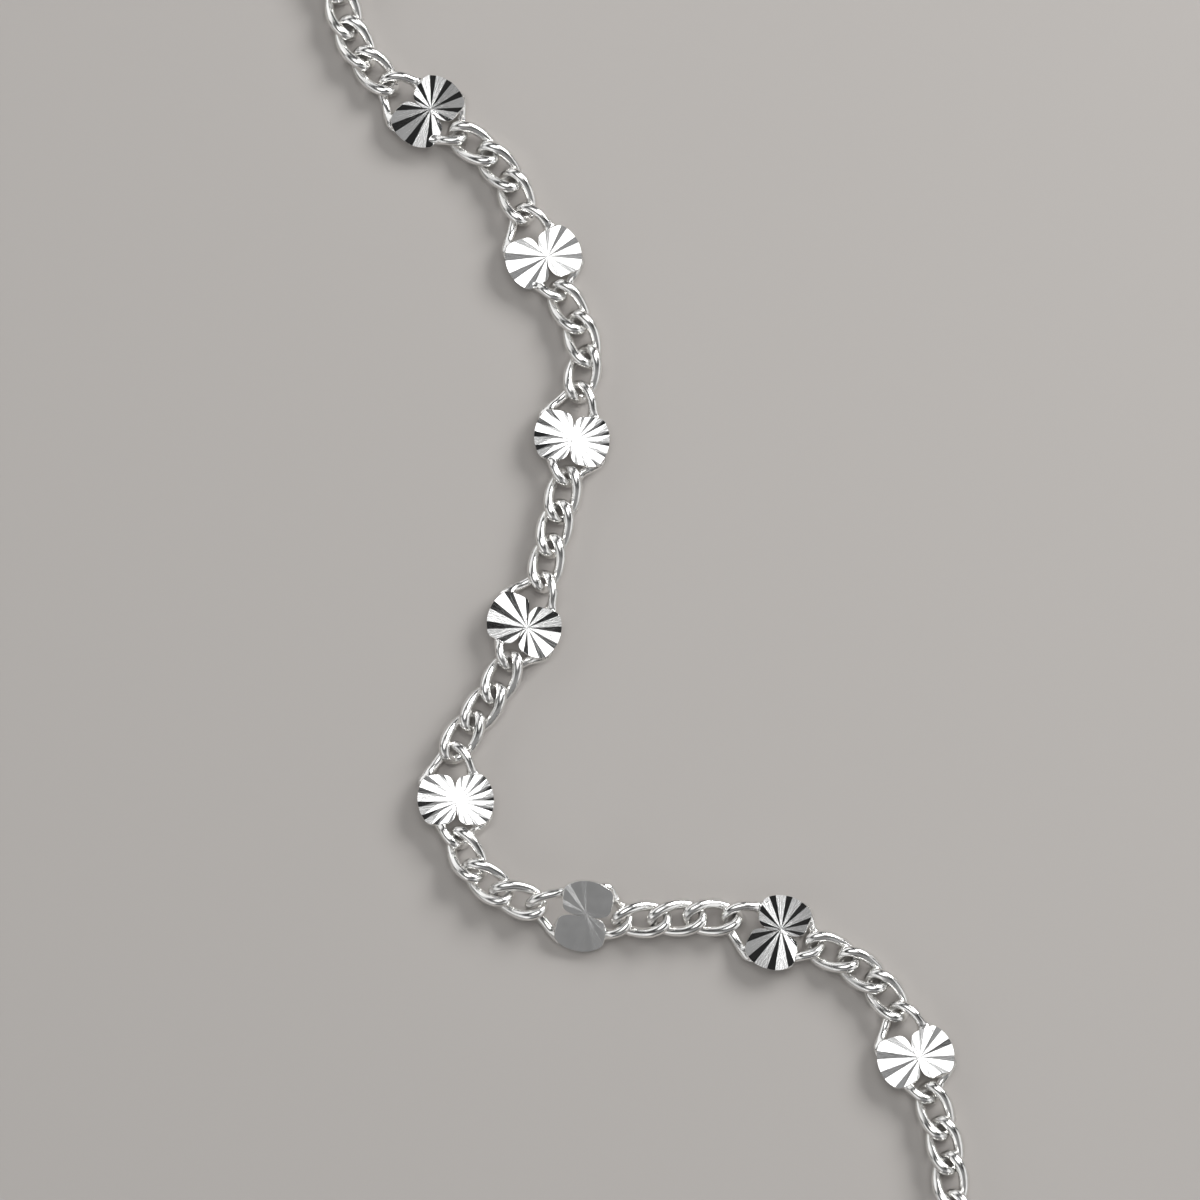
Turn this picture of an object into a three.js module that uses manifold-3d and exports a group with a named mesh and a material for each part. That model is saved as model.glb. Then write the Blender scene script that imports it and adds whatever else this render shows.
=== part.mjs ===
// A fine silver chain bracelet, fastened, lying in a loose loop on a flat surface.
// Three small curb links alternate with one long link whose two sides are pressed into a
// diamond-cut plate. Millimetres, +Z up, the surface at Z = 0, the origin under the middle.
import * as THREE from "three";
import { mergeVertices } from "three/addons/utils/BufferGeometryUtils.js";
import Module from "manifold-3d";

const wasm = await Module();
wasm.setup();

// Driving dimensions
const WIRE = 0.46; // diameter of the wire that every link is bent from
const LINK_WIDTH = 1.7; // a curb link across the chain
const LINK_PITCH = 1.59; // a small link, from the knot behind it to the knot ahead
const LINKS_PER_RUN = 3; // small links between two plate links
const PLATE_LINKS = 22;
const PLATE_PITCH = 3.99; // a plate link, from knot to knot
const PLATE_LENGTH = 2.3; // the plate along the chain
const PLATE_AHEAD = 0.25; // the plate sits this far ahead of its link's middle
const PLATE_THICKNESS = 0.35;
const PLATE_TOP = 1.0; // height of the plate's face above the surface
const LOBE_WIDTH = 1.69; // one lobe across the chain
const LOBE_SHIFT = 0.06; // each lobe sits this far along the chain, in opposite senses
const RUN_HEIGHT = 1.07; // a curb chain lying flat
const CHAIN_AXIS = 0.535; // height of the chain's middle where it lies flat
const ROLLED_LINK = { number: 15, roll: 28, lift: 0.25 }; // the plate link that lies on its edge
const GAP = 0.3; // between a run and the links next to it

// Clasp and rings, each a round ring: radius of the middle of its wire, the wire's diameter, and
// how far it leans about the chain's line where it lies
const SPRING_RING = { radius: 2.0, wire: 1.0, lean: -18 };
const EYE = { radius: 0.8, wire: 0.45 };
const JUMP_RING = { radius: 1.0, wire: 0.4, lean: -75 };
const END_RING = { radius: 1.0, wire: 0.4, lean: 65 };
const CLASP_BACK = 0.98; // the spring ring's middle, back from the middle of the fastening
const RING_SLACK = 0.1; // between a ring and the small link that hangs on it
const TRIGGER = { radius: 0.2, length: 0.45, bearing: 230 }; // the nub that opens the clasp

// The way the chain lies, anticlockwise from the clasp, as points that its middle passes through
const ROUTE = [
  // up the right side and back along the top
  { x: 21.5, y: -1.2 },
  { x: 21.8, y: 6.0 },
  { x: 21.9, y: 13.0 },
  { x: 21.7, y: 20.2 },
  { x: 20.5, y: 27.0 },
  { x: 16.5, y: 32.4 },
  { x: 9.5, y: 34.1 },
  { x: 1.5, y: 33.9 },
  { x: -6.5, y: 33.7 },
  { x: -14.1, y: 34.0 },
  { x: -18.1, y: 34.2 },
  { x: -20.6, y: 33.6 },
  { x: -22.0, y: 31.7 },
  // the long S down the left side, two plate ends and a point between for each repeat
  { x: -22.3, y: 27.9 },
  { x: -21.4, y: 25.3 },
  { x: -20.1, y: 23.7 },
  { x: -16.8, y: 21.4 },
  { x: -14.8, y: 19.8 },
  { x: -14.0, y: 17.8 },
  { x: -12.3, y: 14.2 },
  { x: -11.1, y: 11.8 },
  { x: -11.5, y: 9.6 },
  { x: -12.0, y: 5.7 },
  { x: -12.6, y: 3.3 },
  { x: -13.1, y: 1.0 },
  { x: -14.6, y: -2.7 },
  { x: -15.7, y: -4.7 },
  { x: -17.1, y: -6.6 },
  { x: -16.8, y: -10.6 },
  { x: -15.5, y: -12.6 },
  { x: -13.2, y: -13.6 },
  { x: -9.5, y: -14.2 },
  { x: -7.1, y: -14.1 },
  { x: -4.6, y: -14.1 },
  { x: -0.9, y: -15.3 },
  { x: 1.2, y: -16.4 },
  { x: 2.7, y: -18.2 },
  { x: 4.1, y: -21.8 },
  { x: 4.8, y: -24.1 },
  { x: 5.1, y: -26.3 },
  // round the bottom and back up to the clasp
  { x: 5.1, y: -30.2 },
  { x: 6.3, y: -32.7 },
  { x: 8.8, y: -34.0 },
  { x: 12.8, y: -34.3 },
  { x: 18.2, y: -32.7 },
  { x: 21.3, y: -28.5 },
  { x: 21.9, y: -22.1 },
  { x: 21.8, y: -15.7 },
  { x: 21.5, y: -9.6 },
];

// The wire at the front end of a plate link, from under one lobe round to the other: its middle,
// along the chain, to the left of it and up. The rear end is the same, turned half round.
const END_WIRE = [
  { along: 0.7, left: 1.2, up: 0.66 },
  { along: 1.22, left: 1.05, up: 0.48 },
  { along: 1.62, left: 0.7, up: 0.26 },
  { along: 2.1, left: 0.3, up: 0.32 },
  { along: 2.215, left: 0.0, up: 0.535 },
  { along: 2.1, left: -0.3, up: 0.76 },
  { along: 1.62, left: -0.64, up: 0.84 },
  { along: 0.7, left: -0.8, up: 0.72 },
];

const LINK_SILVER = new THREE.MeshStandardMaterial({
  color: 0xd6d6d4,
  roughness: 0.22,
  metalness: 1,
});
const PLATE_SILVER = new THREE.MeshStandardMaterial({
  color: 0xe2e2e2,
  roughness: 0.1,
  metalness: 1,
});

// A closed geometry as a manifold-3d solid, and back.
function toSolid(geometry) {
  const bare = geometry.clone().deleteAttribute("normal").deleteAttribute("uv");
  const merged = mergeVertices(bare, 1e-4);
  return new wasm.Manifold(
    new wasm.Mesh({
      numProp: 3,
      vertProperties: merged.attributes.position.array,
      triVerts: new Uint32Array(merged.index.array),
    }),
  );
}

function toGeometry(solid) {
  const { vertProperties, triVerts } = solid.getMesh();
  return new THREE.BufferGeometry()
    .setAttribute("position", new THREE.BufferAttribute(vertProperties, 3))
    .setIndex(new THREE.BufferAttribute(triVerts, 1));
}

function joined(...geometries) {
  return toGeometry(geometries.map(toSolid).reduce((all, next) => all.add(next)));
}

// Walks the route in straight steps of given lengths, and returns the knots between them.
function walk(lengths) {
  const curve = new THREE.CatmullRomCurve3(
    ROUTE.map(({ x, y }) => new THREE.Vector3(x, y, 0)),
    false,
    "catmullrom",
    0.5,
  );
  const fine = curve.getPoints(60 * (ROUTE.length - 1));
  const knots = [fine[0]];
  let next = 1;
  for (const length of lengths) {
    const from = knots[knots.length - 1];
    while (next < fine.length - 1 && fine[next].distanceTo(from) < length) next++;
    const chord = fine[next].clone().sub(fine[next - 1]);
    const behind = fine[next - 1].clone().sub(from);
    const a = chord.lengthSq();
    const b = behind.dot(chord);
    const c = behind.lengthSq() - length * length;
    knots.push(
      fine[next - 1].clone().addScaledVector(chord, (Math.sqrt(b * b - a * c) - b) / a),
    );
  }
  return knots;
}

// Step lengths of the whole chain: a run of small links, then a plate link and a run, over and over.
function chainSteps() {
  const run = Array(LINKS_PER_RUN).fill(LINK_PITCH);
  const repeats = Array.from({ length: PLATE_LINKS }, () => [PLATE_PITCH, ...run]);
  return [run, ...repeats].flat();
}

// A group whose X axis points from one knot to another, with its origin halfway.
function between(from, to) {
  const group = new THREE.Group();
  group.position.copy(from).add(to).multiplyScalar(0.5);
  group.rotation.z = Math.atan2(to.y - from.y, to.x - from.x);
  return group;
}

// Rolls a link about the chain's own line and lifts it, so that its low edge stays off the surface.
function rollAboutChain(mesh, { roll, lift }) {
  const angle = THREE.MathUtils.degToRad(roll);
  mesh.rotation.x = angle;
  mesh.position.y = CHAIN_AXIS * Math.sin(angle);
  mesh.position.z = CHAIN_AXIS * (1 - Math.cos(angle)) + lift;
}

function ringSection(radius, sides) {
  const points = Array.from({ length: sides }, (_, i) => {
    const turn = (2 * Math.PI * (i + 0.5)) / sides;
    return new THREE.Vector2(radius * Math.cos(turn), radius * Math.sin(turn));
  });
  return new THREE.Shape(points);
}

// Half of the plate, the lobe left of the chain: straight inner edges that open into the two
// notches, round corners, and a bowed outer edge.
function lobeShape() {
  const half = PLATE_LENGTH / 2;
  const notch = 0.42; // half of the bridge between the two notches
  const lip = 0.28; // how far the notch's edge has opened at the rim
  const shape = new THREE.Shape();
  shape.moveTo(-notch, -0.05);
  shape.lineTo(notch, -0.05);
  shape.lineTo(half - 0.12, lip);
  shape.quadraticCurveTo(half + 0.02, lip + 0.12, half, lip + 0.35);
  shape.quadraticCurveTo(half - 0.08, LOBE_WIDTH - 0.12, half - 0.6, LOBE_WIDTH - 0.04);
  shape.quadraticCurveTo(0, LOBE_WIDTH + 0.04, -half + 0.6, LOBE_WIDTH - 0.04);
  shape.quadraticCurveTo(-half + 0.08, LOBE_WIDTH - 0.12, -half, lip + 0.35);
  shape.quadraticCurveTo(-half - 0.02, lip + 0.12, -half + 0.12, lip);
  return shape;
}

function lobeGeometry() {
  return new THREE.ExtrudeGeometry(lobeShape(), {
    depth: PLATE_THICKNESS,
    bevelEnabled: false,
    curveSegments: 2,
  }).translate(LOBE_SHIFT, 0, PLATE_TOP - PLATE_THICKNESS);
}

function endWireGeometry() {
  const path = new THREE.CatmullRomCurve3(
    END_WIRE.map(({ along, left, up }) => new THREE.Vector3(along, left, up)),
  );
  return new THREE.ExtrudeGeometry(ringSection(WIRE / 2, 5), {
    steps: 6,
    extrudePath: path,
    bevelEnabled: false,
  });
}

// One soldered piece: two lobes and the wire at each end of them.
function plateLinkGeometry() {
  const lobe = lobeGeometry();
  const otherLobe = lobe.clone().rotateZ(Math.PI);
  const wire = endWireGeometry();
  return joined(
    lobe.translate(PLATE_AHEAD, 0, 0),
    otherLobe.translate(PLATE_AHEAD, 0, 0),
    wire,
    wire.clone().rotateZ(Math.PI),
  );
}

// A run of small links, as one flattened tube that follows its knots and stops short of the
// neighbours at both ends.
function chainRunGeometry(knots) {
  const path = new THREE.CurvePath();
  knots.slice(1).forEach((knot, i) => path.add(new THREE.LineCurve3(knots[i], knot)));
  const inset = WIRE + GAP;
  const length = path.getLength();
  const points = Array.from({ length: 5 }, (_, i) =>
    path.getPointAt((inset + ((length - 2 * inset) * i) / 4) / length),
  );
  const flat = 0.22; // corner chamfer
  const [half, side] = [RUN_HEIGHT / 2, LINK_WIDTH / 2];
  const section = new THREE.Shape([
    new THREE.Vector2(half, -side + flat),
    new THREE.Vector2(half, side - flat),
    new THREE.Vector2(half - flat, side),
    new THREE.Vector2(flat - half, side),
    new THREE.Vector2(-half, side - flat),
    new THREE.Vector2(-half, -side + flat),
    new THREE.Vector2(flat - half, -side),
    new THREE.Vector2(half - flat, -side),
  ]);
  return new THREE.ExtrudeGeometry(section, {
    steps: 4,
    extrudePath: new THREE.CatmullRomCurve3(points),
    bevelEnabled: false,
  }).translate(0, 0, half);
}

// A round ring that leans about the chain's line, low enough to touch the surface.
function ringMesh(name, { radius, wire, lean }, along, geometry = null) {
  const ring = geometry ?? new THREE.TorusGeometry(radius, wire / 2, 6, 16);
  const mesh = new THREE.Mesh(ring, LINK_SILVER);
  const angle = THREE.MathUtils.degToRad(lean);
  mesh.name = name;
  mesh.rotation.x = angle;
  mesh.position.set(along, 0, radius * Math.abs(Math.sin(angle)) + wire / 2);
  return mesh;
}

// The spring ring in its own plane: the hollow ring, the eye towards +X and the trigger nub.
function springRingGeometry() {
  const { radius, wire } = SPRING_RING;
  const ring = new THREE.TorusGeometry(radius, wire / 2, 8, 20);
  const eye = new THREE.TorusGeometry(EYE.radius, EYE.wire / 2, 6, 14);
  eye.translate(radius + wire / 2 + EYE.radius - EYE.wire / 2, 0, 0);
  const out = radius + wire / 2 + TRIGGER.length / 2 - 0.1;
  const nub = new THREE.CylinderGeometry(TRIGGER.radius, TRIGGER.radius, TRIGGER.length, 8);
  nub.rotateZ(-Math.PI / 2).translate(out, 0, 0);
  nub.rotateZ(THREE.MathUtils.degToRad(TRIGGER.bearing));
  return joined(ring, eye, nub);
}

// The three pieces that close the chain, from its last knot to its first.
function fastening(from, to) {
  const group = between(from, to);
  const half = from.distanceTo(to) / 2;
  const inset = ({ radius, wire }) => radius - wire / 2 + RING_SLACK;
  group.add(
    ringMesh("end_ring", END_RING, inset(END_RING) - half),
    ringMesh("spring_ring_clasp", SPRING_RING, -CLASP_BACK, springRingGeometry()),
    ringMesh("jump_ring", JUMP_RING, half - inset(JUMP_RING)),
  );
  return group;
}

const number = (n) => String(n + 1).padStart(2, "0");

function buildBracelet() {
  const bracelet = new THREE.Group();
  const knots = walk(chainSteps());
  const repeat = LINKS_PER_RUN + 1;
  for (let n = 0; n <= PLATE_LINKS; n++) {
    const first = n * repeat;
    const run = new THREE.Mesh(
      chainRunGeometry(knots.slice(first, first + LINKS_PER_RUN + 1)),
      LINK_SILVER,
    );
    run.name = `chain_run_${number(n)}`;
    bracelet.add(run);
  }
  const plateLink = plateLinkGeometry();
  for (let n = 0; n < PLATE_LINKS; n++) {
    const start = n * repeat + LINKS_PER_RUN;
    const mesh = new THREE.Mesh(plateLink, PLATE_SILVER);
    mesh.name = `plate_link_${number(n)}`;
    if (n + 1 === ROLLED_LINK.number) rollAboutChain(mesh, ROLLED_LINK);
    const seat = between(knots[start], knots[start + 1]);
    seat.add(mesh);
    bracelet.add(seat);
  }
  bracelet.add(fastening(knots[knots.length - 1], knots[0]));
  return bracelet;
}

export default buildBracelet();
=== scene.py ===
"""The finish of a fine silver chain bracelet, fastened and lying in a loose loop.

Three small curb links alternate with one long link whose sides are pressed into a pair of
diamond-cut lobes, and a spring ring closes the loop. Shapes are worked out in millimetres and
scaled to the frame's metres when a piece is finished.
"""

import logging
import math
import random
from dataclasses import dataclass, field
from enum import Enum

import bmesh
import bpy
from mathutils import Matrix, Quaternion, Vector


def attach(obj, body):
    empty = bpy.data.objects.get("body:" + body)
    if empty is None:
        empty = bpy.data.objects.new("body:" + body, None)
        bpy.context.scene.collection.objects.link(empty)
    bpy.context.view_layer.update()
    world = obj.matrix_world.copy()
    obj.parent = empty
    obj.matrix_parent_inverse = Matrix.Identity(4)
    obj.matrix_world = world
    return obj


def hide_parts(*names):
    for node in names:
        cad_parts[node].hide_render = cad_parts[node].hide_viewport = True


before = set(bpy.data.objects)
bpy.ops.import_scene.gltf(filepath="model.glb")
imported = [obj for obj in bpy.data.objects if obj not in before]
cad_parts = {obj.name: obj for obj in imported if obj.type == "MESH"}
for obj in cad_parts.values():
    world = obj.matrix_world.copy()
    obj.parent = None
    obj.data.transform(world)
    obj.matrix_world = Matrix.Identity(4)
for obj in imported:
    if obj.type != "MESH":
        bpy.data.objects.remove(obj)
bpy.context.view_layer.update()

MM = 0.001
GRAIN = "grain"  # attribute that says where a spot lies along and across the metal's grain
ALONG_GRAIN = 0.05  # how fast the grain changes along a wire, beside across it
OUT_ALONG_RAY = 0.12  # how fast it changes out along a ray, beside across it
BODY = "root"

log = logging.getLogger("bracelet")

Colour = tuple[float, float, float]
Setting = dict[str, object]

# The way the chain lies, anticlockwise from the clasp: points that its middle passes through.
ROUTE: list[tuple[float, float]] = [
    # up the right side and back along the top
    (21.5, -1.2), (21.8, 6.0), (21.9, 13.0), (21.7, 20.2), (20.5, 27.0), (16.5, 32.4),
    (9.5, 34.1), (1.5, 33.9), (-6.5, 33.7), (-14.1, 34.0), (-18.1, 34.2), (-20.6, 33.6),
    (-22.0, 31.7),
    # the long S down the left side
    (-22.3, 27.9), (-21.4, 25.3), (-20.1, 23.7), (-16.8, 21.4), (-14.8, 19.8), (-14.0, 17.8),
    (-12.3, 14.2), (-11.1, 11.8), (-11.5, 9.6), (-12.0, 5.7), (-12.6, 3.3), (-13.1, 1.0),
    (-14.6, -2.7), (-15.7, -4.7), (-17.1, -6.6), (-16.8, -10.6), (-15.5, -12.6),
    (-13.2, -13.6), (-9.5, -14.2), (-7.1, -14.1), (-4.6, -14.1), (-0.9, -15.3), (1.2, -16.4),
    (2.7, -18.2), (4.1, -21.8), (4.8, -24.1), (5.1, -26.3),
    # round the bottom and back up to the clasp
    (5.1, -30.2), (6.3, -32.7), (8.8, -34.0), (12.8, -34.3), (18.2, -32.7), (21.3, -28.5),
    (21.9, -22.1), (21.8, -15.7), (21.5, -9.6),
]
ROUTE_STEPS = 60  # short steps that the smooth route takes between two of its points


# ---------------------------------------------------------------------------------------------
# Node trees
# ---------------------------------------------------------------------------------------------


class Socket:
    """An output in a node tree. Python's operators on it add the Math nodes that work them out."""

    def __init__(self, tree: "NodeTree", source: bpy.types.NodeSocket) -> None:
        """Wraps one output socket of a tree."""
        self.tree = tree
        self.source = source

    def out(self, name: str) -> "Socket":
        """Gives another output of the same node, by its name."""
        outputs = self.source.node.outputs
        return Socket(self.tree, next(s for s in outputs if s.enabled and s.name == name))

    def math(self, operation: str, *values: "Socket | float") -> "Socket":
        """Adds one Math node, with values for its sockets in order."""
        return self.tree.node("ShaderNodeMath", {"operation": operation}, dict(enumerate(values)))

    def __add__(self, other: "Socket | float") -> "Socket":
        """Adds two values."""
        return self.math("ADD", self, other)

    def __sub__(self, other: "Socket | float") -> "Socket":
        """Takes other from this."""
        return self.math("SUBTRACT", self, other)

    def __mul__(self, other: "Socket | float") -> "Socket":
        """Multiplies two values."""
        return self.math("MULTIPLY", self, other)

    def __truediv__(self, other: "Socket | float") -> "Socket":
        """Divides this by other."""
        return self.math("DIVIDE", self, other)

    def __rsub__(self, other: float) -> "Socket":
        """Takes this from a number."""
        return self.math("SUBTRACT", other, self)

    def __rtruediv__(self, other: float) -> "Socket":
        """Divides a number by this."""
        return self.math("DIVIDE", other, self)

    __radd__ = __add__
    __rmul__ = __mul__


class NodeTree:
    """A shader or geometry node tree that is filled node by node."""

    def __init__(self, tree: bpy.types.NodeTree) -> None:
        """Takes over an empty tree."""
        self.tree = tree

    def node(
        self,
        kind: str,
        settings: Setting | None = None,
        inputs: dict[int | str, object] | None = None,
    ) -> Socket:
        """Adds a node, sets it up and feeds it.

        Args:
            kind: The node's type, such as ShaderNodeTexNoise.
            settings: The node's own settings, set before its sockets.
            inputs: Values or links for its sockets, by name or by number.

        Returns:
            The node's first output.
        """
        made = self.tree.nodes.new(kind)
        for name, value in (settings or {}).items():
            setattr(made, name, value)
        for key, value in (inputs or {}).items():
            self._feed(self._input(made, key), value)
        shown = [s for s in made.outputs if s.enabled]
        return Socket(self, shown[0] if shown else made.inputs[0])

    def vector(self, operation: str, *values: object) -> Socket:
        """Adds one Vector Math node, with values for its sockets in order."""
        return self.node("ShaderNodeVectorMath", {"operation": operation}, dict(enumerate(values)))

    def xyz(self, **parts: Socket | float) -> Socket:
        """Joins X, Y and Z into a vector. One that isn't given is nought."""
        return self.node("ShaderNodeCombineXYZ", None, parts)

    @staticmethod
    def _input(made: bpy.types.Node, key: int | str) -> bpy.types.NodeSocket:
        """Finds an input socket by its number, or by name among those in use."""
        named = (s for s in made.inputs if s.enabled and s.name == key)
        return made.inputs[key] if isinstance(key, int) else next(named)

    def _feed(self, socket: bpy.types.NodeSocket, value: object) -> None:
        """Feeds one input socket.

        Args:
            socket: The input.
            value: A wrapped socket to link to it, or a plain value to set.
        """
        if isinstance(value, Socket):
            self.tree.links.new(value.source, socket)
        else:
            socket.default_value = value


class MaterialTree(NodeTree):
    """The node tree of a new material that shows one Principled surface."""

    def __init__(self, name: str) -> None:
        """Makes the material.

        Args:
            name: The material's name.
        """
        self.material = bpy.data.materials.new(name)
        self.material.use_nodes = True
        self.material.node_tree.nodes.clear()
        super().__init__(self.material.node_tree)

    def noise(self, place: Socket, scale: float, detail: float) -> Socket:
        """Adds a cloudy noise that is read at a place."""
        inputs = {"Vector": place, "Scale": scale, "Detail": detail}
        return self.node("ShaderNodeTexNoise", None, inputs)

    def show(self, inputs: dict[int | str, object]) -> bpy.types.Material:
        """Ends the tree in a Principled surface.

        Args:
            inputs: What its sockets take.

        Returns:
            The finished material.
        """
        surface = self.node("ShaderNodeBsdfPrincipled", None, inputs)
        self.node("ShaderNodeOutputMaterial", None, {"Surface": surface})
        return self.material


class GeometryTree(NodeTree):
    """A new geometry node tree that takes a geometry and some numbers, and gives a geometry."""

    def __init__(self, name: str, numbers: dict[str, float]) -> None:
        """Makes the tree.

        Args:
            name: The tree's name.
            numbers: The numbers that it takes. Whole ones stay whole.
        """
        super().__init__(bpy.data.node_groups.new(name, "GeometryNodeTree"))
        kinds = {
            given: "NodeSocketInt" if isinstance(number, int) else "NodeSocketFloat"
            for given, number in numbers.items()
        }
        add = self.tree.interface.new_socket
        for given, kind in {"Geometry": "NodeSocketGeometry", **kinds}.items():
            add(given, in_out="INPUT", socket_type=kind)
        add("Geometry", in_out="OUTPUT", socket_type="NodeSocketGeometry")

    def circle(self, points: int, radius: Socket | float) -> Socket:
        """Adds a circle."""
        inputs = {"Resolution": points, "Radius": radius}
        return self.node("GeometryNodeCurvePrimitiveCircle", None, inputs)

    def moved(self, geometry: Socket, place: Socket) -> Socket:
        """Moves a geometry's points to new places."""
        inputs = {"Geometry": geometry, "Position": place}
        return self.node("GeometryNodeSetPosition", None, inputs)

    def read(self, name: str, kind: str) -> Socket:
        """Reads a named attribute."""
        return self.node("GeometryNodeInputNamedAttribute", {"data_type": kind}, {"Name": name})

    def stored(
        self, geometry: Socket, name: str, kind: str, value: Socket, domain: str = "POINT"
    ) -> Socket:
        """Stores a named attribute.

        Args:
            geometry: What the attribute goes on.
            name: Its name.
            kind: Its data type.
            value: Its value.
            domain: Where it is kept.

        Returns:
            The geometry with the attribute.
        """
        return self.node(
            "GeometryNodeStoreNamedAttribute",
            {"data_type": kind, "domain": domain},
            {"Geometry": geometry, "Name": name, "Value": value},
        )

    def dropped(self, geometry: Socket, name: str) -> Socket:
        """Takes a named attribute off a geometry."""
        inputs = {"Geometry": geometry, "Name": name}
        return self.node("GeometryNodeRemoveAttribute", None, inputs)


# ---------------------------------------------------------------------------------------------
# Finishes
# ---------------------------------------------------------------------------------------------


class Grain(Enum):
    """How the tool marks run over a piece of metal."""

    DRAWN = "along the wire"
    RADIAL = "out from the middle of the plate"


@dataclass(frozen=True)
class SilverFinish:
    """Bright silver with fine tool marks.

    Attributes:
        name: The material's name.
        slot: A name for its material slot.
        grain: How the tool marks run.
        colour: The metal's reflected colour.
        roughness: Its mean roughness.
        unevenness: How far the roughness strays either way.
        marks: Tool marks to a millimetre, across the grain.
        mark_depth: How strongly the marks bend the reflections.
        mark_height: How high the marks are, in metres.
        clouds: Worn patches to a metre.
        cloud_edge: Where a patch begins and is full, in the noise that spreads them.
        worn: How bright the worn patches are, as a share.
    """

    name: str
    slot: str
    grain: Grain
    colour: Colour
    roughness: float
    unevenness: float
    marks: float
    mark_depth: float
    mark_height: float = 0.01 * MM
    clouds: float = 900.0
    cloud_edge: tuple[float, float] = (0.35, 0.65)
    worn: float = 0.9

    MARK_DETAIL = 3.0
    CLOUD_DETAIL = 2.0

    def material(self) -> bpy.types.Material:
        """Makes the finish's material, once."""
        made = bpy.data.materials.get(self.name)
        return made or self._new_material()

    def _new_material(self) -> bpy.types.Material:
        """Builds the node tree of the material.

        Returns:
            The material.
        """
        tree = MaterialTree(self.name)
        place = tree.node("ShaderNodeAttribute", {"attribute_name": GRAIN}).out("Vector")
        if self.grain is Grain.RADIAL:
            reach = tree.vector("LENGTH", place).out("Value")
            ray = tree.vector("NORMALIZE", place)
            place = tree.vector("ADD", ray, tree.xyz(Z=reach * OUT_ALONG_RAY))
        marks = tree.noise(place, self.marks, self.MARK_DETAIL)
        object_place = tree.node("ShaderNodeTexCoord").out("Object")
        clouds = tree.noise(object_place, self.clouds, self.CLOUD_DETAIL)
        begins, full = self.cloud_edge
        worn = tree.node(
            "ShaderNodeMapRange", None, {"Value": clouds, "From Min": begins, "From Max": full}
        )
        deep = [self.worn * share for share in self.colour]
        colour = tree.node(
            "ShaderNodeMix",
            {"data_type": "RGBA"},
            {"Factor": worn, "A": (*self.colour, 1.0), "B": (*deep, 1.0)},
        )
        rough = self.roughness + (marks + worn - 1.0) * self.unevenness
        bump = tree.node(
            "ShaderNodeBump",
            None,
            {"Strength": self.mark_depth, "Distance": self.mark_height, "Height": marks},
        )
        return tree.show(
            {"Base Color": colour, "Metallic": 1.0, "Roughness": rough, "Normal": bump}
        )


WIRE_SILVER = SilverFinish(
    name="drawn silver wire",
    slot="link_silver",
    grain=Grain.DRAWN,
    colour=(0.96, 0.955, 0.94),
    roughness=0.23,
    unevenness=0.07,
    marks=6.0,
    mark_depth=0.25,
)
CUT_SILVER = SilverFinish(
    name="diamond-cut silver",
    slot="plate_silver",
    grain=Grain.RADIAL,
    colour=(0.95, 0.95, 0.945),
    roughness=0.09,
    unevenness=0.05,
    marks=26.0,
    mark_depth=0.2,
)
CLASP_SILVER = SilverFinish(
    name="polished clasp silver",
    slot="clasp_silver",
    grain=Grain.DRAWN,
    colour=(0.93, 0.925, 0.915),
    roughness=0.13,
    unevenness=0.06,
    marks=5.0,
    mark_depth=0.2,
)


# ---------------------------------------------------------------------------------------------
# Shared shapes
# ---------------------------------------------------------------------------------------------


def smooth_path(points: list[Vector], steps: int) -> list[Vector]:
    """Runs a smooth Catmull-Rom curve through points.

    Args:
        points: The points to pass through.
        steps: Short steps between two of them.

    Returns:
        The points of the curve.
    """
    guides = [2 * points[0] - points[1], *points, 2 * points[-1] - points[-2]]
    path = []
    for i in range(len(points) - 1):
        p0, p1, p2, p3 = guides[i : i + 4]
        for step in range(steps):
            t = step / steps
            path.append(
                0.5
                * (
                    2 * p1
                    + (p2 - p0) * t
                    + (2 * p0 - 5 * p1 + 4 * p2 - p3) * t * t
                    + (3 * p1 - p0 - 3 * p2 + p3) * t * t * t
                )
            )
    path.append(points[-1].copy())
    return path


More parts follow.
